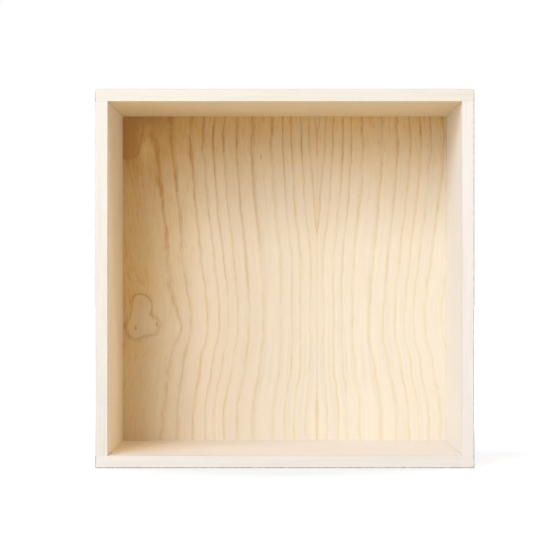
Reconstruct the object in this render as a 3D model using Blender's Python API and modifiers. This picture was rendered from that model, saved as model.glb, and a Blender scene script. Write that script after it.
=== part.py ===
"""Square open shelf box, made of veneered board.

Four boards meet at butt joints: the sides stand between the bottom and the top, and dowels hold each joint.
A board is a core with a veneer on both faces, a solid lipping on its front edge and a thin band on its
rear edge. The top and bottom run the full width, so their ends are banded too. The back is a thinner
veneered panel that sits in a groove all round, and its face is two book-matched leaves that meet at a seam
right of the middle.

Units are metres. +X is right, +Y is towards the rear, +Z is up. The origin is the middle of the base.
"""

from dataclasses import dataclass
from math import atan2, inf, pi, radians

import bmesh
import bpy
from mathutils import Matrix, Vector

# Outside of the finished box
WIDTH = 0.430
HEIGHT = 0.430
DEPTH = 0.350

# Boards: BOARD is the finished thickness, with both veneers
BOARD = 0.014
VENEER = 0.0006
LIPPING = 0.003
BAND = 0.0012
GLUE_LINE = 0.0002

# Radius that takes the sharpness off the outer edges of the box, all of which lie on lippings and bands
ARRIS = 0.001
ARRIS_STEPS = 3

# Back panel: BACK is the finished thickness, and BACK_RECESS is how far it lies in from the rear edges
BACK = 0.008
BACK_RECESS = 0.012
GROOVE_DEPTH = 0.005
GROOVE_PLAY = 0.0003
LEAF_SEAM = 0.040

# Dowels: DOWEL_COVER is the wood left between a hole and a board's outer face, DOWEL_IN_END the length held
# by a side, DOWEL_MARGIN the distance of a row's first and last dowel from the front edge and the groove
DOWELS_PER_JOINT = 3
DOWEL_RADIUS = 0.003
DOWEL_COVER = 0.004
DOWEL_IN_END = 0.016
DOWEL_MARGIN = 0.040
DOWEL_PLAY = 0.0002
DOWEL_CHAMFER = 0.001
DOWEL_FLUTES = 10
FLUTE_DEPTH = 0.0003
HOLE_SPARE = 0.0006
HOLE_SIDES = 24

# How far a cutter stands out of the face that it enters, and how near two places are when they are the same
CUT_OVERRUN = 0.002
SAME_PLACE = 0.000001

# Places that follow from the sizes above
INNER_WIDTH = WIDTH - 2 * BOARD
INNER_HEIGHT = HEIGHT - 2 * BOARD
SIDE_LENGTH = INNER_HEIGHT - 2 * GLUE_LINE
FRONT = -DEPTH / 2
REAR = DEPTH / 2
BACK_REAR = REAR - BACK_RECESS
BACK_FRONT = BACK_REAR - BACK
GROOVE_FRONT = BACK_FRONT - GROOVE_PLAY
GROOVE_REAR = BACK_REAR + GROOVE_PLAY
PANEL_FRONT = FRONT + LIPPING + GLUE_LINE
PANEL_REAR = REAR - BAND - GLUE_LINE
BAND_ARRIS = min(ARRIS, BAND - GLUE_LINE)
FACE_HOLE = BOARD - DOWEL_COVER
END_HOLE = DOWEL_IN_END + HOLE_SPARE
DOWEL_ROW = (FRONT + DOWEL_MARGIN, GROOVE_FRONT - DOWEL_MARGIN)


@dataclass
class Board:
    """One of the four boards. In its frame +Z points out of its inner face, and X runs along its length."""

    name: str
    length: float
    inner_face: Vector
    turn: float
    runs_full_width: bool
    end_names: tuple = ()


def clear_scene():
    """Empties the scene of its objects."""
    for old in list(bpy.data.objects):
        bpy.data.objects.remove(old)


def new_collection(name):
    """A collection of this name, linked to the scene."""
    made = bpy.data.collections.new(name)
    bpy.context.scene.collection.children.link(made)
    return made


def new_material(name, colour, roughness):
    """A plain matt material of one colour."""
    made = bpy.data.materials.new(name)
    made.use_nodes = True
    shader = made.node_tree.nodes["Principled BSDF"]
    shader.inputs["Base Color"].default_value = (*colour, 1.0)
    shader.inputs["Roughness"].default_value = roughness
    shader.inputs["Metallic"].default_value = 0.0
    return made


def add_frame(name, location, turn=0.0, parent=None):
    """An empty that carries the pieces of one board, turned about Y."""
    frame = bpy.data.objects.new(name, None)
    frame.location = location
    frame.rotation_euler = (0.0, turn, 0.0)
    frame.parent = parent
    parts.objects.link(frame)
    return frame


def add_object(name, shape, material, parent, location=(0.0, 0.0, 0.0)):
    """A part made from a bmesh or from a mesh that several parts share."""
    if isinstance(shape, bmesh.types.BMesh):
        mesh = bpy.data.meshes.new(name)
        shape.to_mesh(mesh)
        shape.free()
    else:
        mesh = shape
    piece = bpy.data.objects.new(name, mesh)
    piece.location = location
    piece.parent = parent
    if material and not mesh.materials:
        mesh.materials.append(material)
    parts.objects.link(piece)
    return piece


def block_shape(size):
    """A rectangular block about its own middle."""
    shape = bmesh.new()
    bmesh.ops.create_cube(shape, size=1.0)
    bmesh.ops.scale(shape, vec=size, verts=shape.verts)
    return shape


def add_block(name, low, high, material, parent):
    """A rectangular piece between two corners, given in its parent's frame."""
    low, high = Vector(low), Vector(high)
    return add_object(name, block_shape(high - low), material, parent, (low + high) / 2)


def outside_faces(board, point):
    """Which outside faces of the box hold this point of a board's frame."""
    ends = board.length / 2 if board.runs_full_width else inf
    levels = {
        "outer": point.z + BOARD,
        "front": point.y - FRONT,
        "rear": point.y - REAR,
        "low end": point.x + ends,
        "high end": point.x - ends,
    }
    return {name for name, distance in levels.items() if abs(distance) < SAME_PLACE}


def ease_edges(piece, board, radius):
    """Rounds the edges of a strip where two outside faces of the box meet."""
    mesh = piece.data
    weights = mesh.attributes.new("bevel_weight_edge", "FLOAT", "EDGE")
    for edge in mesh.edges:
        start, end = (outside_faces(board, piece.location + mesh.vertices[i].co) for i in edge.vertices)
        weights.data[edge.index].value = float(len(start & end) == 2)
    bevel = piece.modifiers.new("eased_edges", "BEVEL")
    bevel.limit_method = "WEIGHT"
    bevel.width = radius
    bevel.segments = ARRIS_STEPS


def add_cutter(name, blocks, holes, parent):
    """A hidden cutter of blocks, each given by two corners, and round holes, each given by its two ends."""
    shape = bmesh.new()
    for low, high in blocks:
        place = Matrix.Translation((low + high) / 2) @ Matrix.Diagonal((*(high - low), 1.0))
        bmesh.ops.create_cube(shape, size=1.0, matrix=place)
    for start, end in holes:
        along = end - start
        place = Matrix.Translation((start + end) / 2) @ along.to_track_quat("Z", "Y").to_matrix().to_4x4()
        bmesh.ops.create_cone(
            shape,
            cap_ends=True,
            segments=HOLE_SIDES,
            radius1=DOWEL_RADIUS + DOWEL_PLAY,
            radius2=DOWEL_RADIUS + DOWEL_PLAY,
            depth=along.length,
            matrix=place,
        )
    cutter = add_object(name, shape, None, parent)
    parts.objects.unlink(cutter)
    cutters.objects.link(cutter)
    cutter.hide_render = True
    cutter.display_type = "WIRE"
    return cutter


def cut(piece, cutter):
    """Takes the cutter's shape out of the piece."""
    boolean = piece.modifiers.new("machined", "BOOLEAN")
    boolean.operation = "DIFFERENCE"
    boolean.object = cutter


def dowel_places():
    """Where the dowels of a joint lie, front to rear."""
    first, last = DOWEL_ROW
    step = (last - first) / (DOWELS_PER_JOINT - 1)
    return [first + step * i for i in range(DOWELS_PER_JOINT)]


def full_width_cutter(board, frame):
    """The stopped groove of a top or bottom board, and the dowel holes in its inner face."""
    reach = INNER_WIDTH / 2 + GROOVE_DEPTH
    groove = (Vector((-reach, GROOVE_FRONT, -GROOVE_DEPTH)), Vector((reach, GROOVE_REAR, CUT_OVERRUN)))
    holes = [
        (Vector((x, y, -FACE_HOLE)), Vector((x, y, CUT_OVERRUN)))
        for x in (-(WIDTH - BOARD) / 2, (WIDTH - BOARD) / 2)
        for y in dowel_places()
    ]
    return add_cutter(f"{board.name}_cutter", [groove], holes, frame)


def side_cutter(board, frame):
    """The groove along a side, open at both ends, and the dowel holes in those ends."""
    reach = board.length / 2 + CUT_OVERRUN
    groove = (Vector((-reach, GROOVE_FRONT, -GROOVE_DEPTH)), Vector((reach, GROOVE_REAR, CUT_OVERRUN)))
    holes = [
        (Vector((way * (board.length / 2 - END_HOLE), y, -BOARD / 2)), Vector((way * reach, y, -BOARD / 2)))
        for way in (-1, 1)
        for y in dowel_places()
    ]
    return add_cutter(f"{board.name}_cutter", [groove], holes, frame)


def make_front_lipping(board, frame):
    """The solid strip on the front edge of a board."""
    half = board.length / 2
    name = f"{board.name}_front_lipping"
    strip = add_block(name, (-half, FRONT, -BOARD), (half, FRONT + LIPPING, 0.0), solid_wood, frame)
    ease_edges(strip, board, ARRIS)


def make_rear_band(board, frame):
    """The thin strip on the rear edge of a board."""
    half = board.length / 2
    name = f"{board.name}_rear_band"
    strip = add_block(name, (-half, REAR - BAND, -BOARD), (half, REAR, 0.0), veneer_wood, frame)
    ease_edges(strip, board, BAND_ARRIS)


def make_end_bands(board, frame):
    """The thin strips on the two ends of a board that runs the full width."""
    half = board.length / 2
    for way, name in zip((-1, 1), board.end_names):
        low_x, high_x = sorted((way * half, way * (half - BAND)))
        low, high = (low_x, PANEL_FRONT, -BOARD), (high_x, PANEL_REAR, 0.0)
        strip = add_block(f"{board.name}_{name}_end_band", low, high, veneer_wood, frame)
        ease_edges(strip, board, BAND_ARRIS)


def make_board(board, parent):
    """All the pieces of one board, in its own frame."""
    frame = add_frame(f"{board.name}_board", board.inner_face, board.turn, parent)
    half = board.length / 2
    if board.runs_full_width:
        half -= BAND + GLUE_LINE
        cutter = full_width_cutter(board, frame)
    else:
        cutter = side_cutter(board, frame)

    skin = VENEER + GLUE_LINE
    core_low, core_high = (-half, PANEL_FRONT, skin - BOARD), (half, PANEL_REAR, -skin)
    cut(add_block(f"{board.name}_core", core_low, core_high, core_board, frame), cutter)

    outer_low, outer_high = (-half, PANEL_FRONT, -BOARD), (half, PANEL_REAR, VENEER - BOARD)
    add_block(f"{board.name}_outer_veneer", outer_low, outer_high, veneer_wood, frame)

    inner = f"{board.name}_inner_veneer"
    inner_low, inner_high = (-half, PANEL_FRONT, -VENEER), (half, PANEL_REAR, 0.0)
    if board.runs_full_width:
        cut(add_block(inner, inner_low, inner_high, veneer_wood, frame), cutter)
        make_end_bands(board, frame)
    else:
        add_block(inner, inner_low, (half, GROOVE_FRONT, 0.0), veneer_wood, frame)
        add_block(f"{inner}_rear", (-half, GROOVE_REAR, -VENEER), inner_high, veneer_wood, frame)

    make_front_lipping(board, frame)
    make_rear_band(board, frame)


def make_back(parent):
    """The back panel: a core, two book-matched leaves on its face and one veneer on its rear."""
    frame = add_frame("back_panel", (0.0, 0.0, HEIGHT / 2), parent=parent)
    half_x = INNER_WIDTH / 2 + GROOVE_DEPTH - GROOVE_PLAY
    half_z = INNER_HEIGHT / 2 + GROOVE_DEPTH - GROOVE_PLAY
    skin = VENEER + GLUE_LINE
    seam = GLUE_LINE / 2

    layers = {
        "back_core": (-half_x, half_x, BACK_FRONT + skin, BACK_REAR - skin, core_board),
        "back_left_leaf": (-half_x, LEAF_SEAM - seam, BACK_FRONT, BACK_FRONT + VENEER, veneer_wood),
        "back_right_leaf": (LEAF_SEAM + seam, half_x, BACK_FRONT, BACK_FRONT + VENEER, veneer_wood),
        "back_rear_veneer": (-half_x, half_x, BACK_REAR - VENEER, BACK_REAR, veneer_wood),
    }
    for name, (left, right, front, rear, material) in layers.items():
        add_block(name, (left, front, -half_z), (right, rear, half_z), material, frame)


def dowel_shape(length):
    """A straight-fluted dowel with chamfered ends, standing about its own middle."""
    shape = bmesh.new()
    bmesh.ops.create_cone(
        shape,
        cap_ends=True,
        segments=2 * DOWEL_FLUTES,
        radius1=DOWEL_RADIUS,
        radius2=DOWEL_RADIUS,
        depth=length,
    )
    for vert in shape.verts:
        if round(atan2(vert.co.y, vert.co.x) * DOWEL_FLUTES / pi) % 2:
            vert.co.xy *= 1.0 - FLUTE_DEPTH / DOWEL_RADIUS
    rims = [edge for edge in shape.edges if edge.verts[0].co.z * edge.verts[1].co.z > 0]
    bmesh.ops.bevel(shape, geom=rims, offset=DOWEL_CHAMFER, segments=1, affect="EDGES")
    return shape


def make_dowels(parent):
    """The dowels of the four corner joints, all of one shape."""
    lowest = DOWEL_COVER + HOLE_SPARE
    highest = BOARD + GLUE_LINE + DOWEL_IN_END
    mesh = bpy.data.meshes.new("dowel")
    shape = dowel_shape(highest - lowest)
    shape.to_mesh(mesh)
    shape.free()
    middle = (lowest + highest) / 2
    for level, z in (("bottom", middle), ("top", HEIGHT - middle)):
        for side, x in (("left", (BOARD - WIDTH) / 2), ("right", (WIDTH - BOARD) / 2)):
            for number, y in enumerate(dowel_places(), start=1):
                add_object(f"{level}_{side}_dowel_{number}", mesh, dowel_wood, parent, (x, y, z))


clear_scene()
parts = new_collection("shelf_box")
cutters = new_collection("shelf_box_cutters")

veneer_wood = new_material("ash_veneer", (0.86, 0.74, 0.56), 0.55)
solid_wood = new_material("ash_lipping", (0.93, 0.86, 0.76), 0.55)
core_board = new_material("fibreboard", (0.52, 0.40, 0.27), 0.85)
dowel_wood = new_material("beech_dowel", (0.70, 0.49, 0.32), 0.7)

box = add_frame("shelf_box_root", (0.0, 0.0, 0.0))
boards = (
    Board("bottom", WIDTH, Vector((0.0, 0.0, BOARD)), 0.0, True, ("left", "right")),
    Board("top", WIDTH, Vector((0.0, 0.0, HEIGHT - BOARD)), radians(180), True, ("right", "left")),
    Board("left", SIDE_LENGTH, Vector((-INNER_WIDTH / 2, 0.0, HEIGHT / 2)), radians(90), False),
    Board("right", SIDE_LENGTH, Vector((INNER_WIDTH / 2, 0.0, HEIGHT / 2)), radians(-90), False),
)
for each in boards:
    make_board(each, box)
make_back(box)
make_dowels(box)
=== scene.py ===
"""Looks of a square open shelf box in pale ash.

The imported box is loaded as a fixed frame. Its boards, veneers and dowels keep their solids and get a finish
of their own. The strips on the edges of the boards are modelled anew, with softer corners. A plain studio
and a camera stand round the box.
"""

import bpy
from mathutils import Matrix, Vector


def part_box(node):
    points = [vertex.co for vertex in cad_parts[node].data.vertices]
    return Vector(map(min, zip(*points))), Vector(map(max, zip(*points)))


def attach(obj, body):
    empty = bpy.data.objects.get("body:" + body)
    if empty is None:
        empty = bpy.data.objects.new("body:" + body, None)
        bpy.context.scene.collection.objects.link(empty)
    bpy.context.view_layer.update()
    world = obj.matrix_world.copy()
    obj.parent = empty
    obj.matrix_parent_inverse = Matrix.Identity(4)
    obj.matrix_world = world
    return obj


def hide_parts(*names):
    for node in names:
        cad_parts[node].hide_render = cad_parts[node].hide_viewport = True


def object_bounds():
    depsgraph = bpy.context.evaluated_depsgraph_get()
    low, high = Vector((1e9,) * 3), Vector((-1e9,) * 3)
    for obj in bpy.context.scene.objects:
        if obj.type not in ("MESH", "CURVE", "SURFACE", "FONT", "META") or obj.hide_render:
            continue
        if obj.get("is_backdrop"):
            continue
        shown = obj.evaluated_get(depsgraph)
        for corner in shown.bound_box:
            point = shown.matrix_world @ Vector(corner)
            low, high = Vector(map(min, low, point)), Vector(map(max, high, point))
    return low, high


bl_info = {
    "name": "Ash Shelf Box",
    "version": (1, 0, 0),
    "blender": (4, 5, 0),
    "location": "View3D > Sidebar > Shelf Box",
    "description": "Finishes a square open shelf box in ash and sets it in a plain studio",
    "category": "Object",
}

from math import cos, radians, sin, tan
from typing import NamedTuple

import bpy
from bpy.props import FloatProperty, FloatVectorProperty, IntProperty, PointerProperty
from mathutils import Matrix, Vector

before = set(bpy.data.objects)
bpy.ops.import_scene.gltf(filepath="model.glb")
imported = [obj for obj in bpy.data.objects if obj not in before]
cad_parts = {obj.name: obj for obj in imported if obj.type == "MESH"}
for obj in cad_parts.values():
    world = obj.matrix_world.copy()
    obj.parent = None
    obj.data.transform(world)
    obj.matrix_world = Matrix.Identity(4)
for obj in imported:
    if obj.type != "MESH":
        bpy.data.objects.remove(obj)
CAD_LOW, CAD_HIGH = (Vector(corner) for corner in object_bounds())
CAD_MIDDLE = (CAD_LOW + CAD_HIGH) / 2
BODY = "root"
BOARDS = ("bottom", "top", "left", "right")
IMAGE_SIDE = 560
MM = 0.001
# Places closer than this count as the same.
NEAR = 0.01 * MM
WHITE = (1.0, 1.0, 1.0)
AXES = {"X": Vector((1, 0, 0)), "Y": Vector((0, 1, 0)), "Z": Vector((0, 0, 1))}

# The opening behind the lippings, and the place where the two leaves of the back meet.
OPENING_LOW = Vector((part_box("left_inner_veneer")[1][0], CAD_LOW.y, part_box("bottom_inner_veneer")[1][2]))
OPENING_HIGH = Vector((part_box("right_inner_veneer")[0][0], CAD_LOW.y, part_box("top_inner_veneer")[0][2]))
SEAM = (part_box("back_left_leaf")[1][0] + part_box("back_right_leaf")[0][0]) / 2


# Settings that the panel shows


def colour(name, description, default):
    """A colour setting, in linear light."""
    return FloatVectorProperty(
        name=name, description=description, default=default, subtype="COLOR", min=0.0, max=1.0
    )


def length(name, description, default):
    """A length setting, in metres."""
    return FloatProperty(
        name=name, description=description, default=default, min=0.0, precision=4, unit="LENGTH"
    )


def share(name, description, default):
    """A setting between none and all."""
    return FloatProperty(
        name=name, description=description, default=default, min=0.0, max=1.0, subtype="FACTOR"
    )


def pixels(name, description, default):
    """A place or a width in the image, in pixels."""
    return FloatProperty(
        name=name, description=description, default=default, min=0.0, subtype="PIXEL"
    )


def watts(name, description, default):
    """The power of a lamp, in watts."""
    return FloatProperty(
        name=name, description=description, default=default, min=0.0, unit="POWER"
    )


class ShelfEdges(bpy.types.PropertyGroup):
    """How the edges of the box are eased."""

    arris: length("Arris", "Radius on the outer edges of the box", 1.0 * MM)
    inner_arris: length("Inner arris", "Radius on the edges round the opening", 0.4 * MM)
    joint: length("Joint", "How far the ends of the upright strips close up to the level ones", 0.15 * MM)
    steps: IntProperty(name="Steps", description="Facets across one arris", default=5, min=1, max=12)


class ShelfWood(bpy.types.PropertyGroup):
    """The colours and the sheen of the wood."""

    pale: colour("Veneer", "Veneer between two growth rings", (0.93, 0.865, 0.77))
    ring: colour("Veneer ring", "Veneer on the line of a growth ring", (0.82, 0.725, 0.50))
    # Browner wood and its ring lines also serve as painted shade, on the top and left of the back and on the
    # top and left inner veneers.
    brown_ring: colour("Brown ring", "Line of a growth ring in browner wood", (0.64, 0.36, 0.115))
    honey_and_shade: colour("Veneer honey", "Browner heartwood in the veneer", (0.93, 0.675, 0.305))
    lipping: colour("Lipping", "Solid ash of the front edges", (0.83, 0.77, 0.76))
    lipping_ring: colour("Lipping ring", "Darker grain of the front edges", (0.74, 0.65, 0.53))
    # The colour that the painted shade on the outer edges multiplies in.
    edge_shade_colour: colour("Edge shade colour", "What the soiled edges take from the colour", (0.36, 0.35, 0.34))
    board: colour("Fibreboard", "Raw board under the veneer", (0.43, 0.31, 0.19))
    fibre: colour("Fibreboard fibre", "Pale fibres in the raw board", (0.58, 0.45, 0.30))
    beech: colour("Beech", "Raw beech of the dowels", (0.66, 0.45, 0.28))
    beech_fleck: colour("Beech fleck", "Darker flecks of the beech", (0.46, 0.28, 0.15))
    roughness: share("Roughness", "Roughness of the matt lacquer", 0.42)
    bloom: share("Bloom", "Pale bloom of the sanded fibres at a low angle", 0.65)


class ShelfStage(bpy.types.PropertyGroup):
    """The camera, the lamps and the floor."""

    distance: length("Distance", "From the camera to the front of the box", 3.467)
    front_pixels: pixels("Front width", "Width of the front in the image", 379.3)
    middle_x: pixels("Middle X", "Middle of the front across the image", 284.8)
    middle_y: pixels("Middle Y", "Middle of the front down the image", 278.5)
    key_power: watts("Key", "Power of the large lamp, upper left", 74.0)
    side_power: watts("Side", "Power of the wide lamp, far left", 28.0)
    front_power: watts("Front", "Power of the lamp over the camera", 8.5)
    bounce_power: watts("Bounce", "Power of the reflector, right", 12.5)
    top_power: watts("Top", "Power of the lamp high over the box", 27.0)
    rear_power: watts("Rear", "Power of each lamp behind the box", 65.0)
    fill: FloatProperty(name="Fill", description="Strength of the light from all round", default=0.38)
    floor: colour("Floor", "White floor under the box", (0.60, 0.575, 0.52))


# Shader nodes

NODE_STEP = 220
# Nearly all of the noise lies in this range.
NOISE_RANGE = (0.3, 0.7)
# Detail and roughness of a grainy noise.
GRAINY = (3.0, 0.6)


def feed(tree, socket, value):
    """Links a socket into an input, or sets the input to a plain value."""
    if isinstance(value, bpy.types.NodeSocket):
        tree.links.new(value, socket)
    elif socket.type == "RGBA" and len(value) == 3:
        socket.default_value = (*value, 1.0)
    else:
        socket.default_value = value


def add_node(tree, kind, *values, **settings):
    """Adds a node with its settings and feeds its inputs in order."""
    node = tree.nodes.new(kind)
    node.location = (NODE_STEP * len(tree.nodes), 0)
    for name, setting in settings.items():
        setattr(node, name, setting)
    for socket, value in zip(node.inputs, values):
        feed(tree, socket, value)
    return node


def maths(tree, operation, *values):
    """One step of arithmetic."""
    return add_node(tree, "ShaderNodeMath", *values, operation=operation).outputs[0]


def total(tree, values):
    """The sum of several values."""
    result = values[0]
    for value in values[1:]:
        result = maths(tree, "ADD", result, value)
    return result


def sum_of_squares(tree, values):
    """The sum of the squares of several values."""
    return total(tree, [maths(tree, "MULTIPLY", value, value) for value in values])


def scaled(tree, vector, stretch):
    """A vector stretched along each axis."""
    return add_node(tree, "ShaderNodeVectorMath", vector, stretch, operation="MULTIPLY").outputs[0]


def spread(tree, value, low, high, to_low=0.0, to_high=1.0, way="LINEAR"):
    """Maps the range from low to high onto another, and holds the ends."""
    values = (value, low, high, to_low, to_high)
    return add_node(tree, "ShaderNodeMapRange", *values, interpolation_type=way).outputs[0]


def noise(tree, vector, stretch, detail=2.0, roughness=0.5):
    """Noise about one half, with its waves per metre along each axis."""
    node = add_node(tree, "ShaderNodeTexNoise")
    feed(tree, node.inputs["Vector"], scaled(tree, vector, stretch))
    feed(tree, node.inputs["Scale"], 1.0)
    feed(tree, node.inputs["Detail"], detail)
    feed(tree, node.inputs["Roughness"], roughness)
    return node.outputs[0]


def sway(tree, vector, stretch, detail=2.0, roughness=0.5):
    """Noise about zero, with its waves per metre along each axis."""
    return maths(tree, "SUBTRACT", noise(tree, vector, stretch, detail, roughness), 0.5)


def blended(tree, factor, first, second, way="MIX"):
    """A colour between two colours."""
    # The colour sockets of a Mix node lie behind those for values and vectors.
    node = add_node(tree, "ShaderNodeMix", data_type="RGBA", blend_type=way)
    feed(tree, node.inputs[0], factor)
    feed(tree, node.inputs[6], first)
    feed(tree, node.inputs[7], second)
    return node.outputs[2]


def curve(tree, value, points):
    """A smooth curve through points (place, height), flat beyond its ends."""
    node = add_node(tree, "ShaderNodeFloatCurve")
    feed(tree, node.inputs["Value"], value)
    node.mapping.use_clip = False
    line = node.mapping.curves[0]
    line.points[0].location = points[0]
    line.points[1].location = points[-1]
    for place, height in points[1:-1]:
        line.points.new(place, height)
    for point in line.points:
        point.handle_type = "AUTO_CLAMPED"
    node.mapping.update()
    return node.outputs[0]


def ramp(tree, value, stops):
    """A grey ramp through stops (place, level)."""
    node = add_node(tree, "ShaderNodeValToRGB", value)
    elements = node.color_ramp.elements
    while len(elements) < len(stops):
        elements.new(1.0)
    for element, (place, level) in zip(elements, stops):
        element.position = place
        element.color = (level, level, level, 1.0)
    return node.outputs[0]


def new_group(name, inputs, outputs):
    """A node group: its tree, the sockets it reads and the sockets it feeds."""
    tree = bpy.data.node_groups.new(name, "ShaderNodeTree")
    for label, kind in inputs.items():
        tree.interface.new_socket(label, in_out="INPUT", socket_type="NodeSocket" + kind)
    for label, kind in outputs.items():
        tree.interface.new_socket(label, in_out="OUTPUT", socket_type="NodeSocket" + kind)
    start = tree.nodes.new("NodeGroupInput").outputs
    end = tree.nodes.new("NodeGroupOutput").inputs
    return tree, start, end


def place_group(tree, name, **values):
    """Places a node group, built on first use, and feeds its inputs by name."""
    node = tree.nodes.new("ShaderNodeGroup")
    node.location = (NODE_STEP * len(tree.nodes), 0)
    node.node_tree = bpy.data.node_groups.get(name) or GROUPS[name](name)
    for label, value in values.items():
        feed(tree, node.inputs[label.replace("_", " ")], value)
    return node.outputs


# Waves per metre across, into and along the grain, and the range over which pores and dashes set in.
PORE_WAVES = (1500.0, 1500.0, 75.0)
PORE_RANGE = (0.56, 0.72)
DASH_WAVES = (480.0, 480.0, 60.0)
DASH_RANGE = (0.50, 0.70)
FIBRE_WAVES = (300.0, 300.0, 8.0)


def fine_grain(name):
    """Open pores as short dashes along the grain, and soft fibre streaks."""
    outputs = {"Pores": "Float", "Dashes": "Float", "Fibre": "Float"}
    tree, start, end = new_group(name, {"Vector": "Vector"}, outputs)
    pores = noise(tree, start["Vector"], PORE_WAVES, detail=1.0)
    tree.links.new(spread(tree, pores, *PORE_RANGE, way="SMOOTHSTEP"), end["Pores"])
    dashes = noise(tree, start["Vector"], DASH_WAVES, roughness=0.6)
    tree.links.new(spread(tree, dashes, *DASH_RANGE, way="SMOOTHSTEP"), end["Dashes"])
    streaks = noise(tree, start["Vector"], FIBRE_WAVES, detail=4.0, roughness=0.7)
    tree.links.new(spread(tree, streaks, *NOISE_RANGE), end["Fibre"])
    return tree


# Waves per metre of a log's rings: a drift across, a bow in depth, and a tremble with its share of a ring.
DRIFT_WAVES = (9.0, 9.0, 3.5)
BOW_WAVES = (2.0, 2.0, 5.0)
TREMBLE_WAVES = (60.0, 60.0, 40.0)
TREMBLE = 0.25


def log_figure(name):
    """Growth rings of a log cut lengthwise at some distance from its pith, counted outwards."""
    inputs = {
        "Vector": "Vector",
        "Pith Across": "Float",
        "Pith Depth": "Float",
        "Lean": "Float",
        "Ring Width": "Float",
        "Wander": "Float",
    }
    tree, start, end = new_group(name, inputs, {"Ring": "Float", "Across": "Float"})
    place = add_node(tree, "ShaderNodeSeparateXYZ", start["Vector"]).outputs
    drift = sway(tree, start["Vector"], DRIFT_WAVES)
    bow = sway(tree, start["Vector"], BOW_WAVES, detail=1.0)
    across = maths(tree, "SUBTRACT", place["X"], start["Pith Across"])
    across = maths(tree, "MULTIPLY_ADD", drift, start["Wander"], across)
    depth = maths(tree, "MULTIPLY_ADD", place["Z"], start["Lean"], start["Pith Depth"])
    depth = maths(tree, "MULTIPLY_ADD", bow, start["Wander"], depth)
    radius = maths(tree, "SQRT", sum_of_squares(tree, (across, depth)))
    tree.links.new(radius, end["Across"])
    rings = maths(tree, "DIVIDE", radius, start["Ring Width"])
    tremble = sway(tree, start["Vector"], TREMBLE_WAVES)
    tree.links.new(maths(tree, "MULTIPLY_ADD", tremble, TREMBLE, rings), end["Ring"])
    return tree


def swell(name):
    """A soft oval rise that pushes growth rings round a spot."""
    inputs = {
        "Across": "Float",
        "Up": "Float",
        "Middle Across": "Float",
        "Middle Up": "Float",
        "Half Width": "Float",
        "Half Height": "Float",
        "Strength": "Float",
    }
    tree, start, end = new_group(name, inputs, {"Rise": "Float"})
    across = maths(tree, "SUBTRACT", start["Across"], start["Middle Across"])
    across = maths(tree, "DIVIDE", across, start["Half Width"])
    up = maths(tree, "SUBTRACT", start["Up"], start["Middle Up"])
    up = maths(tree, "DIVIDE", up, start["Half Height"])
    reach = sum_of_squares(tree, (across, up))
    fall = maths(tree, "EXPONENT", maths(tree, "MULTIPLY", reach, -1.0))
    tree.links.new(maths(tree, "MULTIPLY", fall, start["Strength"]), end["Rise"])
    return tree


def spot_rise(tree, across, up, spot):
    """The rise that one spot gives: its middle across and up, half width, half height and strength."""
    middle_across, middle_up, half_width, half_height, strength = spot
    return place_group(
        tree, "swell", Across=across, Up=up, Middle_Across=middle_across, Middle_Up=middle_up,
        Half_Width=half_width, Half_Height=half_height, Strength=strength,
    )["Rise"]


# The figure of the back, in millimetres from the seam and above the inside of the bottom board.
BACK_HEIGHT = 402.0
# Slow and quick sway of the rings: waves per metre, and how far they swing.
SLOW_WAVES = (28.0, 1.0, 14.0)
SLOW_SWAY = 3.0
QUICK_WAVES = (120.0, 1.0, 110.0)
QUICK_SWAY = 2.2
# Sideways shift of the rings, their spread, and an extra shift close to the seam: (height, amount).
RING_SHIFT = (
    (0.0, 9.5), (30.0, 8.0), (65.0, 3.5), (110.0, -1.0), (155.0, 1.0), (205.0, -1.5),
    (245.0, 0.5), (290.0, 5.5), (340.0, 7.0), (402.0, 5.5),
)
RING_SPREAD = (
    (0.0, 1.09), (55.0, 1.10), (100.0, 1.09), (130.0, 1.03), (155.0, 1.01), (190.0, 1.05),
    (230.0, 1.09), (280.0, 1.09), (330.0, 1.11), (375.0, 1.14), (402.0, 1.13),
)
SEAM_SHIFT = (
    (0.0, -6.5), (55.0, -2.5), (100.0, 0.0), (300.0, 0.0),
    (325.0, 1.0), (350.0, 4.5), (375.0, 7.5), (402.0, 11.0),
)
SEAM_REACH = 30.0
# The curves of the shifts are drawn in steps of this size.
SHIFT_STEP = 10.0
# Distance from the seam at which each growth ring runs, nearest first.
RING_PLACES = (-10.5, -1.0, 9.0, 21.0, 31.0, 44.0, 66.0, 83.0, 97.0, 108.5, 119.5, 134.0, 154.0, 171.0)
# Where the count of the rings starts, and where it dies away in plain wood: (distance, rings).
RING_START = (-25.0, -1.5)
PLAIN_WOOD = ((185.0, 13.25), (215.0, 13.45), (250.0, 13.6))
# The count wobbles more in plain wood: waves per metre, then from and to which distance, and how much there.
WOBBLE_WAVES = (55.0, 1.0, 45.0)
WOBBLE = (150.0, 190.0, 0.25, 0.6)
# Spots that push the rings round them: across, up, half width, half height, strength.
RING_SPOTS = (
    (222.0, 169.0, 10.0, 13.5, 0.76),
    (212.0, 170.0, 9.5, 13.0, 0.76),
    (226.0, 140.0, 13.5, 19.0, 0.72),
    (202.5, 143.0, 14.5, 16.5, 0.78),
    (215.0, 142.0, 8.0, 14.0, 0.2),
    (240.0, 378.0, 17.0, 26.0, -1.1),
    (214.0, 402.0, 26.0, 14.0, -1.0),
    (231.0, 361.0, 8.0, 9.0, -0.45),
    (176.0, 143.0, 14.0, 13.0, 0.28),
    (188.0, 222.0, 36.0, 30.0, -0.13),
    (114.0, 45.0, 32.0, 45.0, -0.22),
    (-78.0, 55.0, 25.0, 35.0, -0.14),
    (188.0, 45.0, 30.0, 40.0, 0.15),
    (207.0, 385.0, 20.0, 20.0, -0.15),
    (170.0, 180.0, 25.0, 35.0, -0.13),
    (-25.0, 15.0, 35.0, 45.0, 0.20),
    (-78.0, 135.0, 30.0, 30.0, 0.14),
    (-130.0, 190.0, 40.0, 90.0, 0.10),
)
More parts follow.
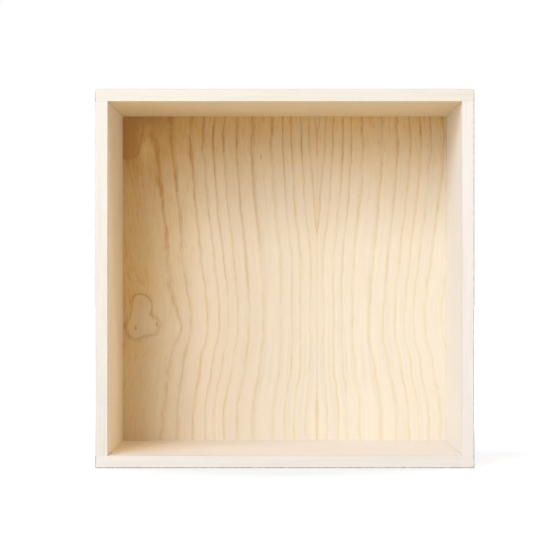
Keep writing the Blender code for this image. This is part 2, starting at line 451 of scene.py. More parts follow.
# Painted shade, browner and darker, fades in from the top, under the top board, and from the left edge,
# beside the left board, where it is partly browner wood as well: strength there, and reach.
TOP_PAINTED_SHADE = (0.92, 72.0)
LEFT_SHADE_AND_BROWN = (0.70, 62.0)
LEFT_EDGE = 241.0
# It is mottled: waves per metre, then a range of the noise and the shares at its ends.
MOTTLE_WAVES = (130.0, 1.0, 30.0)
MOTTLE = (0.35, 0.65, 0.85, 1.12)
# Browner spots: across, up, half width, half height, strength.
HONEY_SPOTS = (
    (242.0, 368.0, 20.0, 28.0, 0.90),
    (226.0, 402.0, 60.0, 26.0, 0.55),
    (240.0, 215.0, 22.0, 110.0, 0.20),
    (185.0, 265.0, 42.0, 90.0, 0.18),
    (228.0, 200.0, 26.0, 26.0, 0.22),
    (222.0, 150.0, 36.0, 40.0, 0.15),
    (218.0, 145.0, 18.0, 26.0, -0.30),
    (226.0, 112.0, 24.0, 9.0, 0.20),
    (213.0, 366.0, 9.0, 18.0, -0.35),
    (192.0, 362.0, 20.0, 26.0, 0.18),
    (0.0, 250.0, 14.0, 60.0, 0.12),
)
# Darker spots, and paler ones with a strength below zero, as above: the upper left corner with its pale
# tongue, then the marks in the knot and two pin knots.
SPECKS = (
    (240.0, 376.0, 22.0, 26.0, 0.75),
    (213.0, 367.0, 9.5, 18.0, -0.75),
    (205.0, 398.0, 32.0, 12.0, 0.40),
    (212.0, 356.0, 44.0, 52.0, 0.27),
    (225.0, 139.5, 1.3, 2.8, 0.8),
    (198.5, 144.0, 1.6, 3.4, 0.7),
    (207.0, 157.0, 0.9, 4.0, 0.4),
    (171.5, 139.0, 1.6, 2.0, -0.4),
    (168.5, 139.0, 0.8, 2.2, 0.4),
    (69.7, 352.0, 1.0, 3.0, 0.7),
)
# The rings are stronger in the left leaf: the right edge, and the strength at the right and left edges.
RING_STRENGTH = (167.0, 0.9, 1.35)
# They are fainter round the knot and below the upper left corner, as above.
FAINT_SPOTS = ((216.0, 152.0, 34.0, 36.0, -0.55), (186.0, 300.0, 24.0, 70.0, -0.30))
# How dark the lines of the rings are in the back.
BACK_CONTRAST = 0.62


def book_figure(name):
    """Growth rings of two leaves opened like a book, with a knot at the far left."""
    outputs = {"Ring": "Float", "Across": "Float", "Honey": "Float", "Speck": "Float", "Strength": "Float"}
    tree, start, end = new_group(name, {"Vector": "Vector"}, outputs)
    place = add_node(tree, "ShaderNodeSeparateXYZ", start["Vector"]).outputs
    left = maths(tree, "MULTIPLY", place["X"], -1.0 / MM)
    up = maths(tree, "MULTIPLY", place["Z"], 1.0 / MM)
    height = maths(tree, "DIVIDE", up, BACK_HEIGHT)
    away = maths(tree, "ABSOLUTE", left)
    away = maths(tree, "MULTIPLY_ADD", sway(tree, start["Vector"], SLOW_WAVES), SLOW_SWAY, away)
    away = maths(tree, "MULTIPLY_ADD", sway(tree, start["Vector"], QUICK_WAVES, *GRAINY), QUICK_SWAY, away)

    def over_height(points, step=1.0):
        """A curve over the height of the back, in steps of some size."""
        return curve(tree, height, [(at / BACK_HEIGHT, amount / step) for at, amount in points])

    def shift(points):
        """A sideways shift over the height of the back."""
        return maths(tree, "MULTIPLY", over_height(points, SHIFT_STEP), SHIFT_STEP)

    def fading(position, edge, strength, reach):
        """A strength at an edge that dies away inside it."""
        inside = maths(tree, "DIVIDE", maths(tree, "SUBTRACT", position, edge), reach)
        return maths(tree, "MULTIPLY", maths(tree, "EXPONENT", inside), strength)

    def spots(values):
        """The rise of each of several spots."""
        return [spot_rise(tree, left, up, spot) for spot in values]

    near_seam = maths(tree, "EXPONENT", maths(tree, "DIVIDE", away, -SEAM_REACH))
    extra = maths(tree, "MULTIPLY", shift(SEAM_SHIFT), near_seam)
    straight = maths(tree, "SUBTRACT", maths(tree, "SUBTRACT", away, shift(RING_SHIFT)), extra)
    straight = maths(tree, "DIVIDE", straight, over_height(RING_SPREAD))
    tree.links.new(maths(tree, "MULTIPLY", straight, MM), end["Across"])
    reach, count = PLAIN_WOOD[-1]
    rings = [RING_START, *((at, number) for number, at in enumerate(RING_PLACES)), *PLAIN_WOOD]
    points = [(at / reach, number / count) for at, number in rings]
    ring = maths(tree, "MULTIPLY", curve(tree, maths(tree, "DIVIDE", straight, reach), points), count)
    wobble = sway(tree, start["Vector"], WOBBLE_WAVES, *GRAINY)
    wobble = maths(tree, "MULTIPLY", wobble, spread(tree, straight, *WOBBLE))
    tree.links.new(total(tree, [ring, wobble] + spots(RING_SPOTS)), end["Ring"])
    mottle = spread(tree, noise(tree, start["Vector"], MOTTLE_WAVES, *GRAINY), *MOTTLE)
    # The top and left edges add painted shade to the browner wood.
    edges = [fading(up, BACK_HEIGHT, *TOP_PAINTED_SHADE), fading(left, LEFT_EDGE, *LEFT_SHADE_AND_BROWN)]
    brown = maths(tree, "MULTIPLY", total(tree, spots(HONEY_SPOTS) + edges), mottle)
    tree.links.new(maths(tree, "MAXIMUM", brown, 0.0), end["Honey"])
    tree.links.new(total(tree, spots(SPECKS)), end["Speck"])
    right, weak, strong = RING_STRENGTH
    strength = spread(tree, left, -right, LEFT_EDGE, weak, strong)
    tree.links.new(total(tree, [strength] + spots(FAINT_SPOTS)), end["Strength"])
    return tree


# Darkness across one growth ring: (share of the year, level).
YEAR_LINE = (
    (0.0, 0.55), (0.035, 0.22), (0.08, 0.06), (0.18, 0.0), (0.55, 0.03), (0.70, 0.12),
    (0.80, 0.30), (0.87, 0.62), (0.92, 0.95), (0.955, 1.0), (1.0, 0.55),
)
# Its line fades in and out along its length, and from year to year: waves per metre, and the shares.
FADE_WAVES = (70.0, 70.0, 16.0)
LENGTH_FADE = (0.35, 1.15)
YEAR_FADE = (0.75, 1.2)
# The pores are darker on a line than beside it: a range of the line's darkness, and the pores' there.
LINE_RANGE = (0.0, 0.3)
PORE_DARKNESS = (0.10, 0.28)
# What browner wood adds to their darkness, and how much the dashes count beside the pores.
HONEY_PORES = 0.18
DASH_SHARE = 0.8
# How far the fibre streaks brighten and darken the wood.
STREAKS = (-0.27, 0.26)
# How much the brownest wood darkens, mostly in the painted shade at the upper left of the back and at the
# rear left of the bottom board: a range of brown, and the darkness at its ends.
HEART_DARKNESS = (0.8, 2.0, 0.0, 0.3)
# How fast the lines turn brown in browner wood and in the painted shade that shares its colour.
HONEY_STAIN = 1.4
# Soft clouds of tone, and the shimmer of the fibres.
CLOUD_WAVES = (22.0, 22.0, 7.0)
CLOUD_TONES = ((0.99, 0.965, 0.93), (0.985, 0.99, 0.985))
SHIMMER_TONES = ((0.92, 0.92, 0.915), (1.065, 1.065, 1.065))
# What the pores add to the roughness, and how high the fibres stand beside the depth of a pore.
PORE_ROUGHNESS = 0.35
FIBRE_HEIGHT = 0.3


def wood_surface(name):
    """Colour, roughness and height of a lacquered wood face from its growth rings and its grain."""
    inputs = {
        "Vector": "Vector",
        "Ring": "Float",
        "Across": "Float",
        "Honey": "Float",
        "Speck": "Float",
        "Pale": "Color",
        "Ring Colour": "Color",
        "Honey Colour": "Color",
        "Brown Ring": "Color",
        "Contrast": "Float",
        "Roughness": "Float",
    }
    outputs = {"Colour": "Color", "Roughness": "Float", "Height": "Float"}
    tree, start, end = new_group(name, inputs, outputs)
    place = add_node(tree, "ShaderNodeSeparateXYZ", start["Vector"]).outputs
    flow = add_node(tree, "ShaderNodeCombineXYZ", start["Across"], place["Y"], place["Z"]).outputs[0]
    grain = place_group(tree, "fine grain", Vector=flow)
    line = ramp(tree, maths(tree, "FRACT", start["Ring"]), YEAR_LINE)
    fade = spread(tree, noise(tree, start["Vector"], FADE_WAVES, *GRAINY), *NOISE_RANGE, *LENGTH_FADE)
    year = add_node(tree, "ShaderNodeTexWhiteNoise", noise_dimensions="1D")
    feed(tree, year.inputs["W"], maths(tree, "FLOOR", start["Ring"]))
    fade = maths(tree, "MULTIPLY", fade, spread(tree, year.outputs["Value"], 0.0, 1.0, *YEAR_FADE))
    line = maths(tree, "MULTIPLY", maths(tree, "MULTIPLY", line, fade), start["Contrast"])
    open_wood = spread(tree, line, *LINE_RANGE, *PORE_DARKNESS)
    open_wood = maths(tree, "MULTIPLY_ADD", start["Honey"], HONEY_PORES, open_wood)
    pores = maths(tree, "MULTIPLY_ADD", grain["Dashes"], DASH_SHARE, grain["Pores"])
    pores = maths(tree, "MULTIPLY", pores, open_wood)
    streaks = spread(tree, grain["Fibre"], 0.0, 1.0, *STREAKS)
    heart = spread(tree, start["Honey"], *HEART_DARKNESS)
    dark = total(tree, [line, pores, streaks, heart, start["Speck"]])
    base = blended(tree, start["Honey"], start["Pale"], start["Honey Colour"])
    deep = maths(tree, "MULTIPLY_ADD", start["Honey"], HONEY_STAIN, start["Speck"])
    stain = blended(tree, deep, start["Ring Colour"], start["Brown Ring"])
    tone = blended(tree, maths(tree, "MAXIMUM", dark, 0.0), base, stain)
    cloud = spread(tree, noise(tree, start["Vector"], CLOUD_WAVES, *GRAINY), *NOISE_RANGE)
    tone = blended(tree, 1.0, tone, blended(tree, cloud, *CLOUD_TONES), "MULTIPLY")
    tone = blended(tree, 1.0, tone, blended(tree, grain["Fibre"], *SHIMMER_TONES), "MULTIPLY")
    tree.links.new(tone, end["Colour"])
    roughness = maths(tree, "MULTIPLY_ADD", pores, PORE_ROUGHNESS, start["Roughness"])
    tree.links.new(roughness, end["Roughness"])
    raised = maths(tree, "MULTIPLY", grain["Fibre"], FIBRE_HEIGHT)
    tree.links.new(maths(tree, "SUBTRACT", raised, pores), end["Height"])
    return tree


# Painted shade along the outer edges: waves per metre, its least and greatest reach, and where in it the
# fading starts.
SHADE_WAVES = (160.0, 160.0, 160.0)
SHADE_REACH = (0.8 * MM, 1.8 * MM)
SHADE_FADE = (0.3, 1.0)


def painted_edge_shade(name):
    """Painted shade along the outer edges of the box, broken up by noise."""
    tree, start, end = new_group(name, {"Vector": "Vector"}, {"Wear": "Float"})
    place = add_node(tree, "ShaderNodeSeparateXYZ", start["Vector"]).outputs
    gaps = []
    for axis, low, high in zip("XYZ", CAD_LOW, CAD_HIGH):
        from_low = maths(tree, "SUBTRACT", place[axis], low)
        from_high = maths(tree, "SUBTRACT", high, place[axis])
        gaps.append(maths(tree, "MINIMUM", from_low, from_high))
    nearer = maths(tree, "MINIMUM", gaps[0], gaps[1])
    farther = maths(tree, "MAXIMUM", gaps[0], gaps[1])
    edge = maths(tree, "MAXIMUM", nearer, maths(tree, "MINIMUM", farther, gaps[2]))
    shade_noise = noise(tree, start["Vector"], SHADE_WAVES, *GRAINY)
    reach = spread(tree, shade_noise, *NOISE_RANGE, *SHADE_REACH)
    edge_shade = spread(tree, maths(tree, "DIVIDE", edge, reach), *SHADE_FADE, 1.0, 0.0)
    tree.links.new(edge_shade, end["Wear"])
    return tree


GROUPS = {
    "fine grain": fine_grain,
    "edge wear": painted_edge_shade,
    "log figure": log_figure,
    "swell": swell,
    "book figure": book_figure,
    "wood surface": wood_surface,
}


def object_place(tree):
    """The place of a point in the box."""
    return add_node(tree, "ShaderNodeTexCoord").outputs["Object"]


def grain_coordinates(tree, across, along, origin):
    """Coordinates with X across the grain and Z along it, measured from a point of the box."""
    rows = (AXES[across], AXES[along].cross(AXES[across]), AXES[along])
    turn = Matrix([tuple(row) for row in rows])
    node = add_node(tree, "ShaderNodeMapping", object_place(tree))
    node.inputs["Rotation"].default_value = turn.to_euler()
    node.inputs["Location"].default_value = -(turn @ Vector(origin))
    return node.outputs[0]


def add_relief(tree, shader, height, strength, depth):
    """Gives a face the relief of its fibres and pores."""
    bump = add_node(tree, "ShaderNodeBump")
    bump.inputs["Strength"].default_value = strength
    bump.inputs["Distance"].default_value = depth
    tree.links.new(height, bump.inputs["Height"])
    tree.links.new(bump.outputs["Normal"], shader.inputs["Normal"])


class Cut(NamedTuple):
    """How a face is cut from its log, in metres: where the pith lies, and how the rings run."""

    pith_across: float
    pith_depth: float
    lean: float
    ring_width: float
    wander: float

    def farther(self, distance):
        """The same cut, farther out from the pith."""
        return self._replace(pith_across=self.pith_across - distance)


# How dark the lines of the rings are in a plain face.
PLAIN_CONTRAST = 0.32
# The bloom of a browner veneer takes on this many times its share of brown, so that it carries the painted
# shade of the top and left inner veneers too.
BLOOM_HONEY_AND_SHADE = 2.0
BLOOM_ROUGHNESS = 0.5
LACQUER_GLOSS = 0.3
# Strength and depth of the relief of lacquered and of raw wood.
LACQUERED_RELIEF = (0.35, 0.15 * MM)
RAW_RELIEF = (0.4, 0.1 * MM)


def wood_material(
    name, wood, across, along, origin, cut=None, colours=None,
    contrast=PLAIN_CONTRAST, honey_and_shade=0.0, bloom=None, heart=None, edge_shade=0.0,
):
    """A lacquered ash face: that of a plain board with a cut, or the book-matched back without one."""
    material = bpy.data.materials.new(name)
    material.use_nodes = True
    tree = material.node_tree
    shader = tree.nodes["Principled BSDF"]
    vector = grain_coordinates(tree, across, along, origin)
    if cut is None:
        figure = place_group(tree, "book figure", Vector=vector)
        brown = figure["Honey"]
        speck = figure["Speck"]
        contrast = maths(tree, "MULTIPLY", figure["Strength"], contrast)
    else:
        figure = place_group(
            tree, "log figure", Vector=vector, Pith_Across=cut.pith_across, Pith_Depth=cut.pith_depth,
            Lean=cut.lean, Ring_Width=cut.ring_width, Wander=cut.wander,
        )
        # On a plain veneer the browner share is painted shade.
        brown = honey_and_shade
        speck = 0.0
        # The bloom is tinted with that brown, painted shade on the top and left inner veneers.
        tint = Vector(WHITE).lerp(Vector(wood.honey_and_shade), min(1.0, BLOOM_HONEY_AND_SHADE * honey_and_shade))
        shader.inputs["Sheen Tint"].default_value = (*tint, 1.0)
    # A browner spot: painted shadow of the left board on the bottom inner veneer, and a browner band at the
    # top end of the right one.
    if heart is not None:
        place = add_node(tree, "ShaderNodeSeparateXYZ", vector).outputs
        brown = maths(tree, "ADD", spot_rise(tree, place["X"], place["Z"], heart), brown)
    pale, dark = colours or (wood.pale, wood.ring)
    face = place_group(
        tree, "wood surface", Vector=vector, Ring=figure["Ring"], Across=figure["Across"],
        Honey=brown, Speck=speck, Pale=pale, Ring_Colour=dark,
        Honey_Colour=wood.honey_and_shade, Brown_Ring=wood.brown_ring, Contrast=contrast, Roughness=wood.roughness,
    )
    tone = face["Colour"]
    # Painted shade along the outer edges of the box.
    if edge_shade > 0.0:
        shadowed = place_group(tree, "edge wear", Vector=object_place(tree))["Wear"]
        tone = blended(tree, maths(tree, "MULTIPLY", shadowed, edge_shade), tone, wood.edge_shade_colour, "MULTIPLY")
    tree.links.new(tone, shader.inputs["Base Color"])
    tree.links.new(face["Roughness"], shader.inputs["Roughness"])
    shader.inputs["Sheen Weight"].default_value = wood.bloom if bloom is None else bloom
    shader.inputs["Sheen Roughness"].default_value = BLOOM_ROUGHNESS
    shader.inputs["Specular IOR Level"].default_value = LACQUER_GLOSS
    add_relief(tree, shader, face["Height"], *LACQUERED_RELIEF)
    return material


# The range of the noise over which flecks set in.
FLECK_RANGE = (0.35, 0.7)


def speckled_material(name, plain, fleck, stretch, amount, roughness):
    """Raw wood or board with flecks of another tone."""
    material = bpy.data.materials.new(name)
    material.use_nodes = True
    tree = material.node_tree
    shader = tree.nodes["Principled BSDF"]
    flecks = noise(tree, object_place(tree), stretch, detail=3.0, roughness=0.7)
    flecks = spread(tree, flecks, *FLECK_RANGE, 0.0, amount)
    tree.links.new(blended(tree, flecks, plain, fleck), shader.inputs["Base Color"])
    shader.inputs["Roughness"].default_value = roughness
    add_relief(tree, shader, flecks, *RAW_RELIEF)
    return material


def background_ray(tree):
    """1 on rays that show the white background: from the camera, or by way of gloss or glass."""
    path = add_node(tree, "ShaderNodeLightPath").outputs
    seen = maths(tree, "MAXIMUM", path["Is Camera Ray"], path["Is Glossy Ray"])
    return maths(tree, "MAXIMUM", seen, path["Is Transmission Ray"])


def toned(colours, tone):
    """Colours of one piece of wood, each shifted by the tone of that piece."""
    return [[level * factor for level, factor in zip(each, tone)] for each in colours]


def finish_node(name, material):
    """Gives a CAD node its finish."""
    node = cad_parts[name]
    for slot in node.material_slots:
        slot.material = material


# Edge strips

# Facets across the arris round the opening, and the angle below which faces are shaded smooth.
INNER_STEPS = 3
SMOOTH_ANGLE = radians(40)


def on_outer_edge(point):
    """True where a point lies on an edge of the box, where two of its faces meet."""
    faces = 0
    for place, low, high in zip(point, CAD_LOW, CAD_HIGH):
        faces += min(abs(place - low), abs(place - high)) < NEAR
    return faces >= 2


def round_opening(point):
    """True where a point lies on the front edge of the opening."""
    in_front = abs(point.y - CAD_LOW.y) < NEAR
    across = min(abs(point.x - OPENING_LOW.x), abs(point.x - OPENING_HIGH.x)) < NEAR
    upright = min(abs(point.z - OPENING_LOW.z), abs(point.z - OPENING_HIGH.z)) < NEAR
    return in_front and (across or upright)


def bevel_edges(piece, test, radius, steps):
    """Rounds the edges whose middle passes the test."""
    mesh = piece.data
    chosen = []
    for edge in mesh.edges:
        first, second = (mesh.vertices[index].co for index in edge.vertices)
        chosen.append(test((first + second) / 2))
    if not any(chosen):
        return
    bpy.ops.object.mode_set(mode="EDIT")
    bpy.ops.mesh.select_mode(type="EDGE")
    bpy.ops.mesh.select_all(action="DESELECT")
    bpy.ops.object.mode_set(mode="OBJECT")
    for edge, pick in zip(mesh.edges, chosen):
        edge.select = pick
    bpy.ops.object.mode_set(mode="EDIT")
    bpy.ops.mesh.bevel(offset=radius, segments=steps, profile=0.5, affect="EDGES")
    bpy.ops.object.mode_set(mode="OBJECT")


def strip_grain(board):
    """The axes across and along the grain of a strip on the edge of a board."""
    return ("Z", "X") if board in ("bottom", "top") else ("X", "Z")


def edge_strip(context, node_name, material):
    """Models a strip in the place of a CAD node, with its outer edges rounded."""
    edges = context.scene.shelf_edges
    low, high = (Vector(corner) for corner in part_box(node_name))
    if node_name.startswith(("left", "right")):
        low.z -= edges.joint
        high.z += edges.joint
    bpy.ops.object.select_all(action="DESELECT")
    bpy.ops.mesh.primitive_cube_add(size=1.0, location=(low + high) / 2)
    piece = context.object
    piece.name = "eased_" + node_name
    piece.scale = high - low
    bpy.ops.object.transform_apply(location=True, rotation=True, scale=True)
    bevel_edges(piece, on_outer_edge, edges.arris, edges.steps)
    bevel_edges(piece, round_opening, edges.inner_arris, INNER_STEPS)
    bpy.ops.object.shade_smooth_by_angle(angle=SMOOTH_ANGLE)
    bpy.ops.object.modifier_add(type="WEIGHTED_NORMAL")
    bpy.ops.object.modifier_apply(modifier=piece.modifiers[-1].name)
    piece.data.materials.append(material)
    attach(piece, BODY)
    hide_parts(node_name)


# Each strip is cut a step farther out from the pith than the one before it.
LIPPING_CUT = Cut(-0.06, 0.03, 0.012, 2.6 * MM, 0.010)
LIPPING_STEP = 0.012
REAR_CUT = Cut(-0.07, 0.02, 0.010, 3.0 * MM, 0.010)
REAR_STEP = 0.010
END_CUT = Cut(-0.05, 0.02, 0.012, 2.8 * MM, 0.010)
END_STEP = 0.011
# The four lippings differ a little in tone: the top one darker, the bottom and right ones cooler.
LIPPING_TONES = {
    "bottom": (0.99, 1.03, 1.05),
    "top": (0.94, 0.98, 0.95),
    "left": (0.965, 0.99, 0.99),
    "right": (1.0, 1.05, 1.085),
}
# How dark the grain of the lippings is.
LIPPING_CONTRAST = 0.35
# How strong the painted shade is on the outer edge of each lipping: strongest at the bottom and right, away
# from the key light.
EDGE_PAINTED_SHADE = {"bottom": 1.0, "top": 0.1, "left": 0.1, "right": 0.9}


class ModelFrontLippings(bpy.types.Operator):
    """Models the solid ash lipping on the front edge of each board"""

    bl_idname = "shelf_box.front_lippings"
    bl_label = "Front Lippings"

    def execute(self, context):
        wood = context.scene.shelf_wood
        for number, board in enumerate(BOARDS):
            origin = Vector(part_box(board + "_front_lipping")[0])
            # Each lipping gets painted shade along its outer edge.
            material = wood_material(
                board + " lipping", wood, *strip_grain(board), origin,
                LIPPING_CUT.farther(LIPPING_STEP * number),
                toned((wood.lipping, wood.lipping_ring), LIPPING_TONES[board]),
                LIPPING_CONTRAST, edge_shade=EDGE_PAINTED_SHADE[board],
            )
            edge_strip(context, board + "_front_lipping", material)
        return {"FINISHED"}


class ModelRearBands(bpy.types.Operator):
    """Models the thin band on the rear edge of each board"""

    bl_idname = "shelf_box.rear_bands"
    bl_label = "Rear Bands"

    def execute(self, context):
        wood = context.scene.shelf_wood
        for number, board in enumerate(BOARDS):
            origin = Vector(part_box(board + "_rear_band")[0])
            cut = REAR_CUT.farther(REAR_STEP * number)
            material = wood_material(board + " rear band", wood, *strip_grain(board), origin, cut)
            edge_strip(context, board + "_rear_band", material)
        return {"FINISHED"}


class ModelEndBands(bpy.types.Operator):
    """Models the thin band on each end of the top and bottom boards"""

    bl_idname = "shelf_box.end_bands"
    bl_label = "End Bands"

    def execute(self, context):
        wood = context.scene.shelf_wood
        names = [f"{board}_{side}_end_band" for board in ("bottom", "top") for side in ("left", "right")]
        for number, name in enumerate(names):
            cut = END_CUT.farther(END_STEP * number)
            material = wood_material(name.replace("_", " "), wood, "Z", "Y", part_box(name)[0], cut)
            edge_strip(context, name, material)
        return {"FINISHED"}


class Veneer(NamedTuple):
    """How a veneer is cut from its log, and how it is finished."""

    across: str
    along: str
    cut: Cut
    contrast: float = PLAIN_CONTRAST
    honey_and_shade: float = 0.0
    bloom: float = 0.60
    tone: tuple = (1.0, 1.0, 1.0)
    heart: tuple = None


# A browning is a browner spot: across, along, half width, half length and strength.
# The left inner veneer is browner, painted shade where the key light does not reach, and paler, painted light
# that makes up for the light it lacks.
LEFT_INNER = Veneer(
    "Y", "Z", Cut(-0.36, 0.07, 0.04, 5.2 * MM, 0.020), honey_and_shade=0.20, bloom=0.95, tone=(1.07, 1.08, 1.08)
)
# The right inner veneer is pinker, painted to look lit by the key light.
RIGHT_INNER = Veneer("Y", "Z", Cut(-0.32, 0.05, -0.05, 5.6 * MM, 0.020), tone=(0.995, 0.97, 1.02))
OUTER = {"contrast": 0.6, "bloom": 0.3}
VENEERS = {
    # The bottom inner veneer is pinker, painted to look lit; its browner spot at the rear left end is painted
    # shadow of the left board.
    "bottom_inner_veneer": Veneer(
        "Y", "X", Cut(-0.30, 0.08, 0.05, 5.5 * MM, 0.020), bloom=0.50, tone=(1.0, 0.965, 1.01),
        heart=(0.04, -0.21, 0.13, 0.08, 1.3),
    ),
    # The top inner veneer is browner, painted shade where the key light does not reach, and paler, painted
    # light that makes up for the light it lacks.
    "top_inner_veneer": Veneer(
        "Y", "X", Cut(-0.34, 0.06, -0.04, 5.0 * MM, 0.020), honey_and_shade=0.34, bloom=0.95, tone=(1.06, 1.07, 1.06)
    ),
    "left_inner_veneer": LEFT_INNER,
    "left_inner_veneer_rear": LEFT_INNER,
    # Browner along its top end.
    "right_inner_veneer": RIGHT_INNER._replace(heart=(0.0, 0.43, 0.30, 0.06, 0.30)),
    "right_inner_veneer_rear": RIGHT_INNER,
    "bottom_outer_veneer": Veneer("Y", "X", Cut(0.02, 0.030, 0.11, 7.0 * MM, 0.030), **OUTER),
    "top_outer_veneer": Veneer("Y", "X", Cut(-0.03, 0.045, 0.10, 7.5 * MM, 0.035), **OUTER),
    "left_outer_veneer": Veneer("Y", "Z", Cut(0.03, 0.020, 0.12, 7.0 * MM, 0.035), **OUTER),
    "right_outer_veneer": Veneer("Y", "Z", Cut(-0.02, 0.025, 0.11, 7.5 * MM, 0.035), **OUTER),
    "back_rear_veneer": Veneer("X", "Z", Cut(-0.04, 0.030, 0.10, 8.0 * MM, 0.035), **OUTER),
}


class FinishVeneers(bpy.types.Operator):
    """Finishes the veneer on the faces of the boards and on the rear of the back"""

    bl_idname = "shelf_box.veneers"
    bl_label = "Veneers"

    def execute(self, context):
        wood = context.scene.shelf_wood
        for name, leaf in VENEERS.items():
            material = wood_material(
                name.replace("_", " "), wood, leaf.across, leaf.along, (0.0, 0.0, 0.0), leaf.cut,
                toned((wood.pale, wood.ring), leaf.tone), leaf.contrast, leaf.honey_and_shade, leaf.bloom, leaf.heart,
            )
            finish_node(name, material)
        return {"FINISHED"}


class FinishBackLeaves(bpy.types.Operator):
    """Finishes the two book-matched leaves of the back"""

    bl_idname = "shelf_box.back_leaves"
    bl_label = "Back Leaves"

    def execute(self, context):
        wood = context.scene.shelf_wood
        origin = (SEAM, 0.0, OPENING_LOW.z)
        material = wood_material("back leaves", wood, "X", "Z", origin, contrast=BACK_CONTRAST)
        for name in ("back_left_leaf", "back_right_leaf"):
            finish_node(name, material)
        return {"FINISHED"}


# Waves per metre of the flecks, which run along the dowels.
FIBREBOARD_WAVES = (900.0, 900.0, 900.0)
DOWEL_WAVES = (900.0, 900.0, 160.0)


class FinishCores(bpy.types.Operator):
    """Finishes the raw fibreboard cores and the beech dowels inside the joints"""

    bl_idname = "shelf_box.cores"
    bl_label = "Cores and Dowels"

    def execute(self, context):
        wood = context.scene.shelf_wood
        board = speckled_material(
            "fibreboard", wood.board, wood.fibre, FIBREBOARD_WAVES, amount=0.8, roughness=0.9
        )
        beech = speckled_material(
            "beech dowel", wood.beech, wood.beech_fleck, DOWEL_WAVES, amount=0.6, roughness=0.7
        )
        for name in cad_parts:
            if name.endswith("_core"):
                finish_node(name, board)
            elif "_dowel_" in name:
                finish_node(name, beech)
        return {"FINISHED"}


# Stage


class Lamp(NamedTuple):
    """A lamp aimed at the box. Its place left of and above the camera and its size are in degrees."""

    left: float
    up: float
    wide: float
    tall: float
    power_setting: str
    tint: tuple = WHITE


LAMP_DISTANCE = 4.2
LAMPS = {
    "rear left lamp": Lamp(122, 17, 20, 20, "rear_power"),
    "rear right lamp": Lamp(-122, 17, 20, 20, "rear_power"),
    "key lamp": Lamp(13, 17, 12, 20, "key_power", (0.90, 0.95, 1.0)),
    "side lamp": Lamp(34, 5, 16, 16, "side_power", (0.91, 0.97, 1.0)),
    "front lamp": Lamp(-8, 28, 18, 18, "front_power", (1.0, 0.76, 0.40)),
    "right reflector": Lamp(-53, 3, 6, 8, "bounce_power", (1.0, 0.68, 0.32)),
    "top lamp": Lamp(-8, 55, 20, 20, "top_power", (1.0, 0.87, 0.73)),
}
FILL_TINT = (1.0, 0.96, 0.90)
CAMERA_REACH = 60.0
FLOOR_SIDE = 40.0
FLOOR_DROP = 0.1 * MM
FLOOR_ROUGHNESS = 0.9
# The floor glows less near the box, so that the shadow shows, and turns white over a range of distances.
FLOOR_GLOW = (0.42, 0.475, 0.55)
GLOW_RANGE = (0.35, 1.2)


def lamp_side(angle):
    """The side of a lamp that spans an angle as seen from the box."""
    return 2 * LAMP_DISTANCE * tan(radians(angle / 2))


def add_lamp(context, name, lamp, power):
    """Hangs one lamp and aims it at the box."""
    level = cos(radians(lamp.up))
    way = Vector((-sin(radians(lamp.left)) * level, -cos(radians(lamp.left)) * level, sin(radians(lamp.up))))
    turn = way.to_track_quat("Z", "Y").to_euler()
    bpy.ops.object.select_all(action="DESELECT")
    bpy.ops.object.light_add(type="AREA", location=CAD_MIDDLE + way * LAMP_DISTANCE, rotation=turn)
    context.object.name = name
    light = context.object.data
    light.shape = "RECTANGLE"
    light.size = lamp_side(lamp.wide)
    light.size_y = lamp_side(lamp.tall)
    light.energy = power
    light.color = lamp.tint


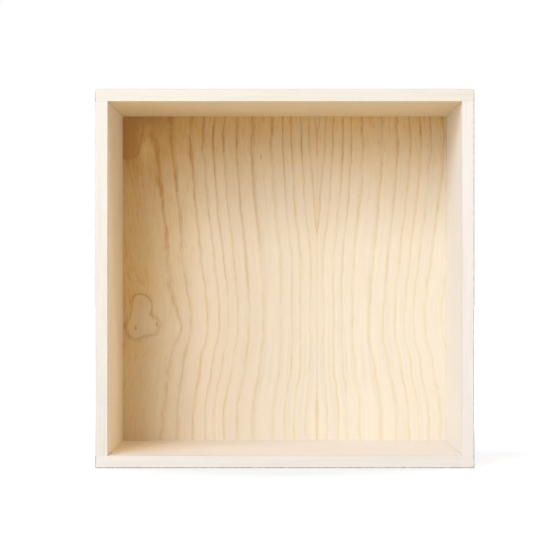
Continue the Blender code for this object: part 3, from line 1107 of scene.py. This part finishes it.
class SetStage(bpy.types.Operator):
    """Sets the floor, the lamps, the white background and the camera"""

    bl_idname = "shelf_box.stage"
    bl_label = "Stage"

    def execute(self, context):
        stage = context.scene.shelf_stage
        context.scene.view_settings.view_transform = "Standard"
        self.add_camera(context, stage)
        for name, lamp in LAMPS.items():
            add_lamp(context, name, lamp, getattr(stage, lamp.power_setting))
        self.add_world(context, stage)
        self.add_floor(context, stage)
        return {"FINISHED"}

    def add_camera(self, context, stage):
        """A camera level with the middle of the front."""
        bpy.ops.object.select_all(action="DESELECT")
        eye = (CAD_MIDDLE.x, CAD_LOW.y - stage.distance, CAD_MIDDLE.z)
        bpy.ops.object.camera_add(location=eye, rotation=(radians(90), 0.0, 0.0))
        camera = context.object
        camera.name = "camera"
        width = CAD_HIGH.x - CAD_LOW.x
        lens = camera.data
        lens.lens = lens.sensor_width * stage.front_pixels * stage.distance / (width * IMAGE_SIDE)
        lens.shift_x = (IMAGE_SIDE / 2 - stage.middle_x) / IMAGE_SIDE
        lens.shift_y = (stage.middle_y - IMAGE_SIDE / 2) / IMAGE_SIDE
        lens.clip_end = CAMERA_REACH
        context.scene.camera = camera

    def add_world(self, context, stage):
        """White where it is seen or mirrored, and an even light on the box."""
        world = bpy.data.worlds.new("studio")
        context.scene.world = world
        world.use_nodes = True
        tree = world.node_tree
        tree.nodes.clear()
        around = add_node(tree, "ShaderNodeBackground", FILL_TINT, stage.fill).outputs[0]
        white = add_node(tree, "ShaderNodeBackground", WHITE, 1.0).outputs[0]
        mix = add_node(tree, "ShaderNodeMixShader", background_ray(tree), around, white).outputs[0]
        add_node(tree, "ShaderNodeOutputWorld", mix)

    def add_floor(self, context, stage):
        """A wide white floor that keeps the shadow of the box."""
        bpy.ops.object.select_all(action="DESELECT")
        bpy.ops.mesh.primitive_plane_add(size=FLOOR_SIDE, location=(0.0, 0.0, CAD_LOW.z - FLOOR_DROP))
        floor = context.object
        floor.name = "floor"
        bpy.ops.object.transform_apply(location=True, rotation=True, scale=True)
        material = bpy.data.materials.new("white floor")
        material.use_nodes = True
        tree = material.node_tree
        shader = tree.nodes["Principled BSDF"]
        shader.inputs["Base Color"].default_value = (*stage.floor, 1.0)
        shader.inputs["Roughness"].default_value = FLOOR_ROUGHNESS
        away = add_node(tree, "ShaderNodeVectorMath", object_place(tree), operation="LENGTH")
        distant = spread(tree, away.outputs["Value"], *GLOW_RANGE)
        tree.links.new(blended(tree, distant, FLOOR_GLOW, WHITE), shader.inputs["Emission Color"])
        tree.links.new(background_ray(tree), shader.inputs["Emission Strength"])
        floor.data.materials.append(material)
        floor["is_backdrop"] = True


class ShelfPanel(bpy.types.Panel):
    """Lists the pieces of the shelf box and their settings"""

    bl_idname = "VIEW3D_PT_shelf_box"
    bl_label = "Shelf Box"
    bl_space_type = "VIEW_3D"
    bl_region_type = "UI"
    bl_category = "Shelf Box"

    def draw(self, context):
        for each in OPERATORS:
            self.layout.operator(each.bl_idname)
        for name in SETTINGS:
            column = self.layout.column(heading=name)
            group = getattr(context.scene, name)
            for key in group.__annotations__:
                column.prop(group, key)


OPERATORS = (
    ModelFrontLippings,
    ModelRearBands,
    ModelEndBands,
    FinishVeneers,
    FinishBackLeaves,
    FinishCores,
    SetStage,
)
SETTINGS = {"shelf_edges": ShelfEdges, "shelf_wood": ShelfWood, "shelf_stage": ShelfStage}
CLASSES = (*SETTINGS.values(), *OPERATORS, ShelfPanel)


def register():
    """Adds the classes and the settings to Blender."""
    for each in CLASSES:
        bpy.utils.register_class(each)
    for name, group in SETTINGS.items():
        setattr(bpy.types.Scene, name, PointerProperty(type=group))


def unregister():
    """Takes the settings and the classes out again."""
    for name in SETTINGS:
        delattr(bpy.types.Scene, name)
    for each in reversed(CLASSES):
        bpy.utils.unregister_class(each)


def main():
    """Builds the looks of the box."""
    register()
    bpy.ops.shelf_box.front_lippings()
    bpy.ops.shelf_box.rear_bands()
    bpy.ops.shelf_box.end_bands()
    bpy.ops.shelf_box.veneers()
    bpy.ops.shelf_box.back_leaves()
    bpy.ops.shelf_box.cores()
    bpy.ops.shelf_box.stage()


if __name__ == "__main__":
    main()
